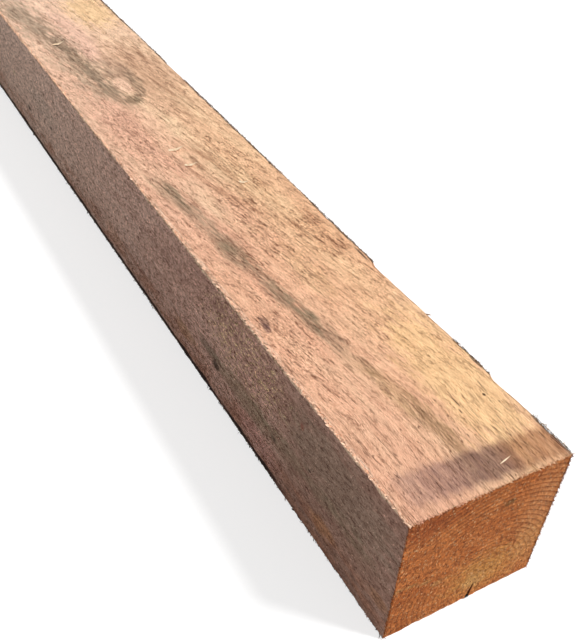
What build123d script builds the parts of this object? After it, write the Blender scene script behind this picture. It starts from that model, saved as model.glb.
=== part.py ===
"""A rough-sawn square softwood fence post, lying on one face.

The post is one piece of timber. It was sawn square from a small log, so the pith runs inside it,
and both ends were cross-cut. The butt end is cut a little out of square and has opened in one
check, which runs from the pith to the nearest face. One arris has torn where the saw left short
grain, and the corner beside the butt end has begun to split.

X runs along the post, with the butt end at +X. The post lies on its face at Z = 0, and the origin
is in the middle of that face. Lengths are in millimetres and angles in degrees.
"""

import os
from math import radians, sqrt, tan

from build123d import *

# The sawn stock
POST_LENGTH = 1800.0
POST_WIDTH = 100.0
POST_HEIGHT = 100.0
ARRIS_RADIUS = 1.5

# The butt end's cut swings towards the left face and leans towards the top face
BUTT_SWING = 1.15
BUTT_LEAN = 0.57
SAW_OVERRUN = 10.0

# The pith at the butt end, measured from the post's centre line and up from the bed face
PITH_ACROSS = 8.7
PITH_HEIGHT = 14.5

# The check opens at the bed face and closes at the pith, and runs into the post until it closes
CHECK_MOUTH_ACROSS = 6.0
CHECK_MOUTH = 2.8
CHECK_KNEE_HEIGHT = 6.5
CHECK_KNEE_WIDTH = 1.2
CHECK_RUN = 90.0
CHECK_MIDDLE = 0.5
CHECK_DRIFT = 1.5
CHECK_OVERCUT = 1.0

# Tears along the right-hand top arris: how far from the butt end each starts, and its run and depth
ARRIS_TEARS = [
    (64.0, 34.0, 2.1),
    (176.0, 80.0, 2.4),
    (500.0, 36.0, 1.2),
    (930.0, 70.0, 1.7),
    (1310.0, 60.0, 1.4),
]

# The split beside the same arris, which lifts a splinter off the corner of the butt end
SPLIT_FROM_SIDE = 2.4
SPLIT_START = 4.5
SPLIT_RUN = 12.0
SPLIT_WIDTH = 0.6
SPLIT_DEPTH = 2.2

BUTT_X = POST_LENGTH / 2
TOP_X = -POST_LENGTH / 2
RIGHT_Y = POST_WIDTH / 2


def sawn_timber():
    """The square section as sawn, its arrises worn to a small radius, cut square at the top end."""
    section = Plane.YZ * Pos(0, POST_HEIGHT / 2) * RectangleRounded(POST_WIDTH, POST_HEIGHT, ARRIS_RADIUS)
    stock = extrude(section, POST_LENGTH + SAW_OVERRUN)
    return Pos(TOP_X, 0, 0) * stock


def butt_cut():
    """The plane of the butt end's cut. Its longest corner is at the post's full length."""
    swing = tan(radians(BUTT_SWING))
    lean = tan(radians(BUTT_LEAN))
    middle_x = BUTT_X - swing * POST_WIDTH / 2 - lean * POST_HEIGHT / 2
    return Plane(
        origin=(middle_x, 0, POST_HEIGHT / 2),
        x_dir=(swing, 1, 0),
        z_dir=(1, -swing, lean),
    )


def check_section(share, x, drift):
    """The check's outline across the post, from its mouth below the bed face up to the pith."""
    mouth = CHECK_MOUTH_ACROSS + drift
    tip = mouth + (PITH_ACROSS - CHECK_MOUTH_ACROSS) * share
    knee = (mouth + tip) / 2
    outline = Polyline(
        (mouth - CHECK_MOUTH * share / 2, -CHECK_OVERCUT),
        (knee - CHECK_KNEE_WIDTH * share / 2, CHECK_KNEE_HEIGHT * share),
        (tip, PITH_HEIGHT * share),
        (knee + CHECK_KNEE_WIDTH * share / 2, CHECK_KNEE_HEIGHT * share),
        (mouth + CHECK_MOUTH * share / 2, -CHECK_OVERCUT),
        close=True,
    )
    return Plane.YZ.offset(x) * make_face(outline)


def end_check():
    """The drying check: widest at the cut end, and closing to a point along the bed face."""
    closes_x = BUTT_X - CHECK_RUN
    middle_x = BUTT_X - CHECK_RUN * CHECK_MIDDLE
    opening = check_section(1, BUTT_X + SAW_OVERRUN, 0)
    middle = check_section(1 - CHECK_MIDDLE, middle_x, CHECK_DRIFT)
    outer = loft([opening, middle], ruled=True)
    inner = loft([middle, Vertex(closes_x, CHECK_MOUTH_ACROSS + CHECK_DRIFT, -CHECK_OVERCUT)], ruled=True)
    return outer + inner


def arris_tear(distance, run, depth):
    """A tear in the right-hand top arris: deepest where the fibres broke, and feathering out over
    its run towards the butt end. It is half the bite of a cylinder that lies across the arris."""
    radius = (run**2 + depth**2) / (2 * depth)
    across_arris = Plane(
        origin=(BUTT_X - distance, RIGHT_Y, POST_HEIGHT),
        x_dir=(1, 0, 0),
        z_dir=(0, 1, -1),
    )
    outwards = radius - depth
    width = 2 * depth * sqrt(2) + 2 * ARRIS_RADIUS
    bite = Pos(0, outwards, 0) * Cylinder(radius, width)
    kept_half = Pos(run / 2, 0, 0) * Box(run, 2 * depth * sqrt(2), width)
    return across_arris * (bite & kept_half)


def corner_split():
    """The slit that lifts a splinter beside the arris, as a thin lens that closes at both ends."""
    half = SPLIT_RUN / 2
    middle_x = BUTT_X - SPLIT_START - half
    side_y = RIGHT_Y - SPLIT_FROM_SIDE
    lens = ThreePointArc((-half, 0), (0, SPLIT_WIDTH / 2), (half, 0))
    lens += ThreePointArc((half, 0), (0, -SPLIT_WIDTH / 2), (-half, 0))
    top = Plane(origin=(middle_x, side_y, POST_HEIGHT))
    slit = extrude(top * make_face(lens), SPLIT_DEPTH, both=True)
    return slit


def fence_post():
    """The whole post: the sawn timber, cross-cut, then opened by its check, tears and split."""
    post = split(sawn_timber(), bisect_by=butt_cut(), keep=Keep.BOTTOM)
    post -= end_check()
    for distance, run, depth in ARRIS_TEARS:
        post -= arris_tear(distance, run, depth)
    post -= corner_split()
    return post.solid()


os.makedirs("parts", exist_ok=True)
post = fence_post()
export_step(post, "parts/fence_post.step")
print("fence_post", "volume", round(post.volume), "mm3, box", post.bounding_box())
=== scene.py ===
# %% [markdown]
# # A rough-sawn fence post
# The post is one length of softwood: sawn square, cross-cut and dipped in a brown preservative.
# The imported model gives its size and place. This lesson gives it a real sawn skin, its raised
# fibres and splinters, the colours of its faces, and a plain studio to be seen in.

# %% Load the frame
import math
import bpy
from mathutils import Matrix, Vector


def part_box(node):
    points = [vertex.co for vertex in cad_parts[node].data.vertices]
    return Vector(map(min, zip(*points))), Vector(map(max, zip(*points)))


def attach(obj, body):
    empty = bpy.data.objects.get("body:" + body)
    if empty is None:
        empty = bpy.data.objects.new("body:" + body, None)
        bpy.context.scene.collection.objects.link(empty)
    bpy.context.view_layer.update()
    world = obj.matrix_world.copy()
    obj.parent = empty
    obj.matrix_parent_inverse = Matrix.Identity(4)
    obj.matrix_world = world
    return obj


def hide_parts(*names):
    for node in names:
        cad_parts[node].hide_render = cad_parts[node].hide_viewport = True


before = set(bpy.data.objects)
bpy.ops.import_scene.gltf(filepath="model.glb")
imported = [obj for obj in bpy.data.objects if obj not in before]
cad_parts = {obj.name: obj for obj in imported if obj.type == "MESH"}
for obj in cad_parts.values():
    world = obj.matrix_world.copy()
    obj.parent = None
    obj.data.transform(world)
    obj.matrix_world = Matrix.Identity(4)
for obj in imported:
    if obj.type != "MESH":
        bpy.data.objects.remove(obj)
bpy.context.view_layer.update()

# %% Tools and the post's size
from types import SimpleNamespace

import bmesh
import bpy
import numpy as np
from mathutils import Matrix, Vector

MM = 0.001
low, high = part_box("fence_post")
top_x, butt_x = low[0], high[0]
half_width = (high[1] - low[1]) / 2
height = high[2]
print("post", [round((b - a) / MM) for a, b in zip(low, high)], "mm")

# %% [markdown]
# ## The end's cut and the pith
# The butt end was cut a little out of square, so a point on it moves back as it goes left and up.
# The pith, the middle of the tree, runs low in the post. Every ring on the ends, and every band
# along the faces, is measured from it, so the pattern of one face meets that of the next.

# %% The cut and the pith
BUTT_SWING = math.tan(math.radians(1.15))
BUTT_LEAN = math.tan(math.radians(0.57))
PITH_Y = 8.7 * MM
PITH_Z = 14.5 * MM


def butt_offset(y, z):
    """How far the cut end lies behind its longest corner, at a place on the end."""
    return BUTT_SWING * (y - half_width) - BUTT_LEAN * z


def behind(distance):
    """The place along the post that is so many millimetres behind the butt end."""
    return butt_x - distance * MM


print("middle of the butt end at x =", round((butt_x + butt_offset(0, height / 2)) / MM, 1), "mm")

# %% [markdown]
# ## Noise that can be stretched
# Sawn wood is rough in long, thin shapes, because its fibres tear along their length. A grid of
# random heights, blended smoothly and stretched along the post, gives that. A modifier with a
# texture could do it too, but numbers in code let the same relief place the fibres that lie on it.

# %% Stretched noise
TABLE = 1024
heights = np.random.default_rng(7).uniform(-1, 1, (TABLE, TABLE))


def ripple(along, across, length, width, seed):
    """Smooth heights between -1 and 1, in bumps about so long and so wide, in metres."""
    a, b = along / length + 37 * seed, across / width + 91 * seed
    i, j = np.floor(a).astype(int), np.floor(b).astype(int)
    s, t = a - i, b - j
    s, t = s * s * (3 - 2 * s), t * t * (3 - 2 * t)
    i, j, i2, j2 = i % TABLE, j % TABLE, (i + 1) % TABLE, (j + 1) % TABLE
    near = heights[i, j] * (1 - s) + heights[i2, j] * s
    far = heights[i, j2] * (1 - s) + heights[i2, j2] * s
    return near * (1 - t) + far * t


# %% [markdown]
# ## The four sawn faces
# Each face has its own seed, and the grain leans across it by its own slope, because the tree
# didn't grow quite straight. The grain runs true again near the butt end of the post. The relief
# is a slow bow, the bands that the rings leave, the fibres, and tears where fibres came out.

# %% Faces and their relief
GRAIN_TRUE_FROM = 0.83
UP, RIGHTWARDS = np.array([0.0, 0.0, 1.0]), np.array([0.0, 1.0, 0.0])
FACES = {
    "bed": {"out": -UP, "across": RIGHTWARDS, "seed": 11, "lean": 0.04},
    "right": {"out": RIGHTWARDS, "across": UP, "seed": 23, "lean": 0.05},
    "top": {"out": UP, "across": RIGHTWARDS, "seed": 37, "lean": 0.15},
    "left": {"out": -RIGHTWARDS, "across": UP, "seed": 41, "lean": 0.03},
}
# each layer of the relief: its height, length and width, in mm
BOW, BANDS, FIBRES, TORN = (0.35, 300, 120), (0.20, 70, 9), (0.16, 16, 2.4), (0.9, 24, 4.5)
# only what passes this height is torn out, and the whole relief is set this far back, in mm
TORN_FROM = 0.45
SET_BACK = 0.35


def layer(shape, along, across, seed):
    """One layer of the relief, in mm."""
    rise, length, width = shape
    return rise * ripple(along, across, length * MM, width * MM, seed)


def sawn_relief(face, along, across):
    """How far the saw left the surface above or below the face, in metres."""
    seed = FACES[face]["seed"]
    # the place across the face is measured from one fibre instead of from the post's edge
    fibre = across - FACES[face]["lean"] * np.minimum(along, GRAIN_TRUE_FROM)
    kept = layer(BOW, along, across, seed) + layer(BANDS, along, fibre, seed + 1)
    kept += layer(FIBRES, along, fibre, seed + 2)
    torn = np.maximum(layer(TORN, along, fibre, seed + 3) - TORN_FROM, 0)
    return (kept - torn - SET_BACK) * MM


# %% [markdown]
# ## Worn and torn arrises
# An arris, the edge between two faces, is never clean on sawn timber: it is worn by a fraction of
# a millimetre, and one has torn away in steps. Each tear starts abruptly where fibres broke, and
# runs out slowly along the grain. The size of the missing corner is one number for each place
# along the post, and a vertex closer to the corner than that is pushed back to the torn slope.

# %% Arrises
# where each tear starts behind the butt end, its run and its leg, in mm
TEARS = [(64, 34, 3.0), (176, 80, 3.4), (500, 36, 1.7), (930, 70, 2.4), (1310, 60, 2.0)]
# a tear reaches its full depth over this share of its run
BREAK = 0.03
# the same corner is missing over this run at the butt end, with this leg
LIFTED_RUN, LIFTED_LEG = 30 * MM, 1.4 * MM
# how much each corner is worn, and how deep its small nicks are, in mm
ARRIS_WEAR = {
    "top left": (0.9, 1.6), "top right": (0.7, 1.8), "bed left": (0.4, 1.0), "bed right": (0.8, 1.2),
}


def torn_leg(along):
    """The leg of the corner that is missing from the right-hand top arris."""
    from_butt = (butt_x - along) / MM
    leg = np.zeros_like(along)
    for start, run, depth in TEARS:
        share = (start - from_butt) / run
        inside = (share > -BREAK) & (share < 1)
        step = np.clip((share + BREAK) / BREAK, 0, 1)
        leg = np.maximum(leg, np.where(inside, depth * step * (1 - np.clip(share, 0, 1)) ** 0.7, 0))
    return leg * MM


def arris_loss(along, to_corner, corner, seed):
    """How far the surface drops near a corner, at a distance from the corner."""
    deep, nick = ARRIS_WEAR[corner]
    short, slow, nicks = (
        ripple(along, 0 * along, length * MM, 1, seed + k) for k, length in enumerate((7, 40, 9)))
    wear = deep * (1 + 0.5 * short + 0.3 * slow) + nick * np.clip(nicks - 0.3, 0, 1)
    reach = (1.0 + 1.3 * wear) * MM
    worn = wear * MM * np.clip(1 - to_corner / reach, 0, 1) ** 1.6
    missing = 0 * along
    if corner == "top right":
        missing = torn_leg(along) + LIFTED_LEG * np.clip(1 - (butt_x - along) / LIFTED_RUN, 0, 1) ** 0.6
    rough = 0.35 * MM * ripple(along, to_corner, 6 * MM, 1.2 * MM, seed + 5) * (missing > 0)
    return np.maximum(worn, np.clip(missing - to_corner + rough, 0, None))


# %% [markdown]
# ## The post's skin
# The skin is one closed mesh. Rings of points run round the section and are joined into quads
# along the length, and a square grid closes each end. The rings stand closer together in the
# 0.7 m by the butt end, and the points stand closer together beside each arris. Starting from
# rings instead of a subdivided box keeps the quads long in the direction of the grain, which is
# where the relief is long as well.

# %% Points round the section and along the post
STEPS = 80
CLOSE_FROM, CLOSE_RUN = 0.19, 0.71
edge_points = -half_width + np.array([0.0, 0.4, 0.9, 1.6]) * MM
inner_edge = half_width - 2.6 * MM
inner = np.linspace(-inner_edge, inner_edge, STEPS + 1 - 2 * len(edge_points))
spread = np.concatenate([edge_points, inner, -edge_points[::-1]])
ring_x = np.concatenate([
    np.linspace(top_x, CLOSE_FROM, 80, endpoint=False),
    butt_x - CLOSE_RUN * np.linspace(1, 0, 172) ** 1.25,
])
rounds = 4 * STEPS
print("rings", len(ring_x), "with", rounds, "points each")

# %% Walk round the section
# the corner at the low end and at the high end of each face
CORNERS = {
    "bed": ("bed left", "bed right"), "right": ("bed right", "top right"),
    "top": ("top left", "top right"), "left": ("bed left", "top left"),
}


def perimeter():
    """Each point of the section: its place, and the faces it lies on."""
    points = []
    order = [("bed", 1), ("right", 1), ("top", -1), ("left", -1)]
    for k, (face, way) in enumerate(order):
        for i, place in enumerate(spread[::way][:STEPS]):
            on = [face] if i else [order[k - 1][0], face]
            if face in ("bed", "top"):
                points.append((place, 0.0 if face == "bed" else height, on))
            else:
                points.append((half_width if face == "right" else -half_width, place + half_width, on))
    return points


def pushed(face, x, y, z):
    """How far the sawn face lies outside its flat plane, at places along one line of the skin."""
    across = np.full_like(x, y if face in ("bed", "top") else z - half_width)
    losses = [
        arris_loss(x, to_corner, corner, 50 + 5 * list(ARRIS_WEAR).index(corner))
        for corner, to_corner in zip(CORNERS[face], (half_width + across, half_width - across))
    ]
    push = sawn_relief(face, x, across) - np.maximum(*losses)
    return np.minimum(push, 0) if face == "bed" else push


# %% Build the rings
CUT_SHARE_FROM = 0.8
butt_share = np.clip((ring_x - CUT_SHARE_FROM) / (butt_x - CUT_SHARE_FROM), 0, 1)
section = perimeter()
points = np.zeros((len(ring_x), rounds, 3))
for j, (y, z, on) in enumerate(section):
    x = ring_x + butt_share * butt_offset(y, z)
    points[:, j] = np.column_stack([x, np.full_like(x, y), np.full_like(x, z)])
    for face in on:
        points[:, j] += pushed(face, x, y, z)[:, None] * FACES[face]["out"]
# the cut's own edge is ragged, where the blade broke fibres away
section_y, section_z = (np.array([point[k] for point in section]) for k in (0, 1))
points[-1, :, 0] -= 0.5 * MM * np.abs(ripple(section_y, section_z, 2.3 * MM, 2.7 * MM, 95))
print("relief ready")

# %% [markdown]
# ## The ends
# A cross-cut leaves the end flat, but the blade's teeth score it and lift the ends of the fibres.
# The grid of each end shares its outer points with the last ring, so the skin stays closed. The
# skin also gets a flat sheet of its own faces, laid out in strips, for a finish to be baked on.

# %% The end grids and the sheet
# the side of the sheet, the pitch of its strips and the gap beside one, in metres of wood
SHEET, STRIP, GAP = 0.92, 0.102, 0.002
END_STRIP = 8


def ring_index(row, column):
    """The point of a ring that a grid's outer point shares, or None inside the grid."""
    if row == 0:
        return column
    if column == STEPS:
        return STEPS + row
    if row == STEPS:
        return 3 * STEPS - column
    if column == 0:
        return (rounds - row) % rounds
    return None


def saw_scores(y, z, seed):
    """The height of an end's surface: scored by the blade from side to side."""
    scores = 0.10 * ripple(y + 0.2 * z, z - 0.25 * y, 30 * MM, 1.6 * MM, seed)
    grit = 0.14 * ripple(y, z, 3 * MM, 3 * MM, seed + 1)
    return (scores + grit + 0.25 * ripple(y, z, 40 * MM, 40 * MM, seed + 2)) * MM


def on_sheet(left, strip, along, across):
    """A place on the sheet, so far along and across one of its strips."""
    return left + along / SHEET, (strip * STRIP + GAP + across) / SHEET


# %% The sides and ends of the mesh
FINISHES = [
    "sawn_bed_face", "sawn_right_face", "sawn_top_face", "sawn_left_face", "butt_end_grain",
    "top_end_grain", "check_walls",
]
finishes = {name: bpy.data.materials.new(name) for name in FINISHES}
verts = points.reshape(-1, 3).tolist()
faces, worn_finish, sheet_places = [], [], []
wide = spread + half_width

for i in range(len(ring_x) - 1):
    butt_half = (ring_x[i] + ring_x[i + 1]) / 2 >= 0
    start = 0.0 if butt_half else top_x
    for j in range(rounds):
        k = (j + 1) % rounds
        faces.append((i * rounds + j, i * rounds + k, (i + 1) * rounds + k, (i + 1) * rounds + j))
        side, step = divmod(j, STEPS)
        worn_finish.append(side)
        for ring, place in ((i, step), (i, step + 1), (i + 1, step + 1), (i + 1, step)):
            sheet_places.append(on_sheet(0.01, 2 * side + butt_half, ring_x[ring] - start, wide[place]))

# each end's finish, its ring, its seed and the left of its place on the sheet
ENDS = (("butt_end_grain", len(ring_x) - 1, 71, 0.02), ("top_end_grain", 0, 83, 0.14))
for end, ring, seed, left_of in ENDS:
    index = {}
    for row in range(STEPS + 1):
        for column in range(STEPS + 1):
            shared = ring_index(row, column)
            if shared is not None:
                index[row, column] = ring * rounds + shared
                continue
            y, z = spread[column], wide[row]
            scored = float(saw_scores(y, z, seed)) - 0.3 * MM
            index[row, column] = len(verts)
            verts.append((butt_x + butt_offset(y, z) + scored if ring else top_x - scored, y, z))
    for row in range(STEPS):
        for column in range(STEPS):
            corners = [(row, column), (row, column + 1), (row + 1, column + 1), (row + 1, column)]
            corners = corners if ring else corners[::-1]
            faces.append(tuple(index[c] for c in corners))
            worn_finish.append(FINISHES.index(end))
            sheet_places += [on_sheet(left_of, END_STRIP, wide[c], wide[r]) for r, c in corners]

# %% Make the skin


def add_object(name, data):
    """Puts an object with this data into the scene."""
    made = bpy.data.objects.new(name, data)
    bpy.context.scene.collection.objects.link(made)
    return made


skin = bpy.data.meshes.new("sawn_post")
skin.from_pydata(verts, [], faces)
for finish in finishes.values():
    skin.materials.append(finish)
skin.polygons.foreach_set("material_index", worn_finish)
sheet = skin.uv_layers.new(name="OFBake")
sheet.data.foreach_set("uv", np.array(sheet_places, dtype=np.float32).ravel())
skin.update()
post = add_object("sawn_post", skin)
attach(post, "root")
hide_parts("fence_post")
print("skin", len(verts), "points,", 2 * len(faces), "triangles")

# %% [markdown]
# ## The check and the split
# As an end dries it shrinks more round the rings than along the rays, and opens in a check from
# the pith to the nearest face. A split beside the torn arris lifts a splinter. Both are real gaps,
# so they are cut: a thin jagged wedge is taken away from the skin by a Boolean modifier, which is
# then applied. Painting them dark would look flat from the side.

# %% Shape the cutters


def wedge(name, stations):
    """A closed wedge through outlines of the same number of points, joined in order."""
    places = [p for outline in stations for p in outline]
    count = len(stations[0])
    sides = [tuple(reversed(range(count)))]
    for s in range(len(stations) - 1):
        for i in range(count):
            j = (i + 1) % count
            sides.append((s * count + i, s * count + j, (s + 1) * count + j, (s + 1) * count + i))
    sides.append(tuple(range((len(stations) - 1) * count, len(stations) * count)))
    mesh = bpy.data.meshes.new(name)
    mesh.from_pydata(places, [], sides)
    for finish in finishes.values():
        mesh.materials.append(finish)
    mesh.polygons.foreach_set("material_index", [FINISHES.index("check_walls")] * len(sides))
    shape = bmesh.new()
    shape.from_mesh(mesh)
    bmesh.ops.recalc_face_normals(shape, faces=shape.faces)
    shape.to_mesh(mesh)
    shape.free()
    return add_object(name, mesh)


# where the check opens in the bed face, half its gap there and at the pith, in mm
MOUTH_Y, MOUTH_GAP, PITH_GAP = 6.0, 1.5, 0.08
CHECK_LEVELS = [-2.0, 3.0, 6.5, 10.0, PITH_Z / MM]


def check_outline(share, from_butt, drift):
    """The check's outline across the post: jagged, widest at the bed face, closed at the pith. It
    shrinks to a share of itself as the check runs back, and drifts aside."""
    jag = np.random.default_rng(5).uniform(-0.35, 0.35, len(CHECK_LEVELS))
    left, right = [], []
    for level, shift in zip(CHECK_LEVELS, jag):
        rise = max(level, 0) / CHECK_LEVELS[-1]
        middle = MOUTH_Y + drift + (PITH_Y / MM - MOUTH_Y) * rise * share + shift
        gap = MOUTH_GAP * (1 - rise) ** 0.9 * share + PITH_GAP
        deep = (level * share if level > 0 else level) * MM
        left.append((behind(from_butt), (middle - gap) * MM, deep))
        right.append((behind(from_butt), (middle + gap) * MM, deep))
    return left + right[::-1]


def split_outline(from_butt, gap):
    """The split's outline: a V in the top face, beside the torn arris, with half its gap in mm."""
    x = behind(from_butt)
    y = half_width - (2.4 + 0.06 * (from_butt - 10)) * MM
    above, below = height + 1 * MM, height - 2.2 * MM
    return [
        (x, y - gap * MM, above), (x, y - 0.3 * gap * MM, below),
        (x, y + 0.3 * gap * MM, below), (x, y + gap * MM, above),
    ]


# %% Cut the check and the split
check_stations = ((0.05, 92, 2.2), (0.45, 50, 1.2), (0.8, 20, 0.6), (1.0, -6, 0.0))
split_stations = ((17, 0.04), (13, 0.3), (9, 0.36), (6, 0.25), (4, 0.04))
cutters = (
    wedge("check_cut", [check_outline(*station) for station in check_stations]),
    wedge("split_cut", [split_outline(*station) for station in split_stations]),
)
for cutter in cutters:
    cut = post.modifiers.new(cutter.name, "BOOLEAN")
    cut.operation = "DIFFERENCE"
    cut.object = cutter
    cut.solver = "EXACT"
depsgraph = bpy.context.evaluated_depsgraph_get()
opened = bpy.data.meshes.new_from_object(
    post.evaluated_get(depsgraph), preserve_all_data_layers=True, depsgraph=depsgraph)
post.modifiers.clear()
post.data = opened
for cutter in cutters:
    bpy.data.objects.remove(cutter)
opened.polygons.foreach_set("use_smooth", [True] * len(opened.polygons))
opened.set_sharp_from_angle(angle=math.radians(38))
print("opened skin", len(opened.polygons), "faces")

# %% [markdown]
# ## One function for nodes, and one for colours
# Every finish below is a network of nodes. A single function adds a node, sets it up and plugs
# others into it. It finds the network from what is plugged in, so only a node with nothing plugged
# in is told where it goes. Colours are written as sRGB hex, as in a paint program, and turned to
# linear.

# %% Node and colour helpers


def linear(code):
    """The linear colour that Blender works with, from an sRGB hex code."""
    parts = [int(code[i : i + 2], 16) / 255 for i in (1, 3, 5)]
    return [c / 12.92 if c <= 0.04045 else ((c + 0.055) / 1.055) ** 2.4 for c in parts] + [1.0]


def output(value):
    """The socket that a node, or a node with its output's name, gives. A plain value has none."""
    if isinstance(value, bpy.types.NodeSocket):
        return value
    if isinstance(value, bpy.types.Node):
        return next(o for o in value.outputs if o.enabled)
    if isinstance(value, tuple) and isinstance(value[0], bpy.types.Node):
        return value[0].outputs[value[1]]
    return None


def node(kind, inputs=None, tree=None, **settings):
    """Adds one node. An input is a value, another node, or a node with its output's name."""
    inputs = inputs or {}
    plugs = {name: output(value) for name, value in inputs.items()}
    tree = tree or next(plug.id_data for plug in plugs.values() if plug is not None)
    made = tree.nodes.new("ShaderNode" + kind)
    for name, value in settings.items():
        setattr(made, name, value)
    for name, value in inputs.items():
        if isinstance(name, int):
            socket = made.inputs[name]
        else:
            socket = next(s for s in made.inputs if s.enabled and s.name == name)
        if plugs[name] is not None:
            tree.links.new(plugs[name], socket)
        else:
            socket.default_value = value
    return made


def empty_tree(owner):
    """Turns on the nodes of a material or of the world, and clears them."""
    owner.use_nodes = True
    owner.node_tree.nodes.clear()
    return owner.node_tree


# %% [markdown]
# ## Masks
# A mask is a number between 0 and 1 at each place. It can fade from one place to another, hold
# within a band, and be combined with others. Everything that is laid on a face below has a mask.

# %% Mask helpers


def fade(value, start, full):
    """A mask that goes smoothly from 0, where the value is start, to 1, where it is full."""
    limits = {"Value": value, "From Min": start, "From Max": full}
    return node("MapRange", limits, interpolation_type="SMOOTHSTEP")


def both(first, second):
    """Where both masks are."""
    return node("Math", {0: first, 1: second}, operation="MULTIPLY")


def either(first, second):
    """Where one mask or the other is."""
    return node("Math", {0: first, 1: second}, operation="MAXIMUM")


def within(value, start, full, out_from, gone):
    """A mask that rises from start to full, and falls from out_from to gone."""
    return both(fade(value, start, full), fade(value, gone, out_from))


# %% [markdown]
# ## Parts of a wood pattern
# The finishes share a few patterns, each with a size in millimetres: flecks stretched along the
# grain, separate chips, and thin branching threads. Each is a few nodes, and gives a mask.

# %% Pattern helpers


def stretch(grain, length, width, shift):
    """The place along the grain, in units so long and so wide in millimetres."""
    size = (1000 / length, 1000 / width, 1.0)
    return node("VectorMath", {0: grain, 1: size, 2: shift}, operation="MULTIPLY_ADD")


def flecks(grain, length, width, seed, low, high, detail=2.0):
    """A mask of flecks about so long and so wide in millimetres, where noise passes low to high."""
    place = stretch(grain, length, width, (seed * 7.1, seed * 3.3, seed))
    noise = node("TexNoise", {"Vector": place, "Scale": 1.0, "Detail": detail, "Roughness": 0.6})
    return node("MapRange", {"Value": noise, "From Min": low, "From Max": high})


def chips(grain, length, width, seed, amount):
    """A mask of separate ragged flecks, up to so long and so wide in millimetres. The amount is
    the share of places that hold one, and also makes them larger."""
    place = stretch(grain, length, width, (seed * 5.7, seed * 2.9, seed))
    bend = node("TexNoise", {"Vector": place, "Scale": 1.3, "Detail": 1.0})
    ragged = node("VectorMath", {0: (bend, "Color"), 1: (1.1, 1.1, 0.0), 2: place}, operation="MULTIPLY_ADD")
    cell = node("TexVoronoi", {"Vector": ragged, "Scale": 1.0}, voronoi_dimensions="2D")
    chance = node("SeparateColor", {"Color": (cell, "Color")})
    room = node("Math", {0: amount, 1: (chance, "Red")}, operation="SUBTRACT")
    left_over = node("Math", {0: room, 1: (cell, "Distance")}, operation="SUBTRACT")
    return node("MapRange", {"Value": left_over, "From Max": 0.16})


def threads(grain, length, width, seed, thin):
    """A mask of thin branching lines, as broken fibres leave: where noise crosses its middle."""
    place = stretch(grain, length, width, (seed * 4.3, seed * 6.1, seed))
    noise = node("TexNoise", {"Vector": place, "Scale": 1.0, "Detail": 2.0, "Roughness": 0.7})
    from_middle = node("Math", {0: noise, 1: 0.5}, operation="SUBTRACT")
    away = node("Math", {0: from_middle}, operation="ABSOLUTE")
    return node("MapRange", {"Value": away, "From Min": thin, "From Max": 0.3 * thin})


# %% [markdown]
# ## Colour laid on a face
# A face starts with a colour, and marks are laid on it one after another: a stain soaks in its own
# tint, a shade deepens what is there, and raised fibres make it lighter. A shade that is relative
# to the colour under it looks like real shadow, where a fixed brown would look like paint.

# %% Lay colour on a face
SHADE = "#AC8F80"


def stain(face, mask, tint, strength, broken=0.0):
    """Stains a face's colour where the mask is, broken up by its fibres."""
    if broken:
        held = node("MapRange", {"Value": face.fibres, "To Min": 1.0 - broken, "To Max": 1.0})
        mask = both(mask, held)
    laid = {"Factor": both(mask, strength), "A": face.colour, "B": linear(tint)}
    face.colour = node("Mix", laid, data_type="RGBA")


def deepen(face, mask, *strengths):
    """Darkens and reddens a face's own colour where the mask is, once for each strength."""
    for strength in strengths:
        laid = {"Factor": both(mask, strength), "A": face.colour, "B": linear(SHADE)}
        face.colour = node("Mix", laid, data_type="RGBA", blend_type="MULTIPLY")


def lighten(face, mask, gain):
    """Makes a face's own colour lighter where the mask is, by a share of itself."""
    factor = node("Math", {0: mask, 1: gain, 2: 1.0}, operation="MULTIPLY_ADD")
    face.colour = node("VectorMath", {0: face.colour, "Scale": factor}, operation="SCALE")


def grainy(face, length, width, seed, dark, pale, detail=2.0):
    """Bumps of tone about so long and so wide in millimetres, some darker and some paler."""
    deepen(face, flecks(face.grain, length, width, seed, 0.5, 0.32, detail), dark)
    high_part = flecks(face.grain, length, width, seed, 0.5, 0.68, detail)
    lighten(face, high_part, pale)
    return high_part


# %% [markdown]
# ## Marks that have a place
# The marks of the photographed part of the post are placed by measured positions. A patch is an
# oval with a frayed rim, and a streak follows a line of points. On a long face, positions are
# given in millimetres from the butt end and from the left or bottom edge.

# %% Placed marks


def frayed(face, value, reach):
    """A place that is moved by up to so many millimetres, so that a mask made of it is frayed."""
    return node("Math", {0: face.fray, 1: reach * MM, 2: value}, operation="MULTIPLY_ADD")


def patch(face, far, up, length, width, ragged=0.7):
    """An oval patch. Its middle is so many mm from the butt end, or on an end from the left edge,
    and so many mm up from the left or bottom edge."""
    middle = (face.zero + face.way * far * MM, up * MM - half_width)
    scale = (2 / (length * MM), 2 / (width * MM))
    moved = (-middle[0] * scale[0], -middle[1] * scale[1], 0.0)
    oval = node("VectorMath", {0: face.flat, 1: (*scale, 0.0), 2: moved}, operation="MULTIPLY_ADD")
    away = node("VectorMath", {0: oval}, operation="LENGTH")
    rim = node("Math", {0: face.fray, 1: ragged, 2: (away, "Value")}, operation="MULTIPLY_ADD")
    edge = 1.0 + ragged / 2
    return fade(rim, edge, edge - face.softness)


def patches(face, *marks):
    """Stains ovals in order. Each is its patch, its tint, its strength and how broken it is."""
    for spot, *soaked in marks:
        stain(face, patch(face, *spot), *soaked)


def strongest(face, *marks):
    """The strongest of some ovals, as one mask. Each is its patch and its strength."""
    mask = 0.0
    for spot, strength in marks:
        mask = either(both(patch(face, *spot), strength), mask)
    return mask


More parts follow.
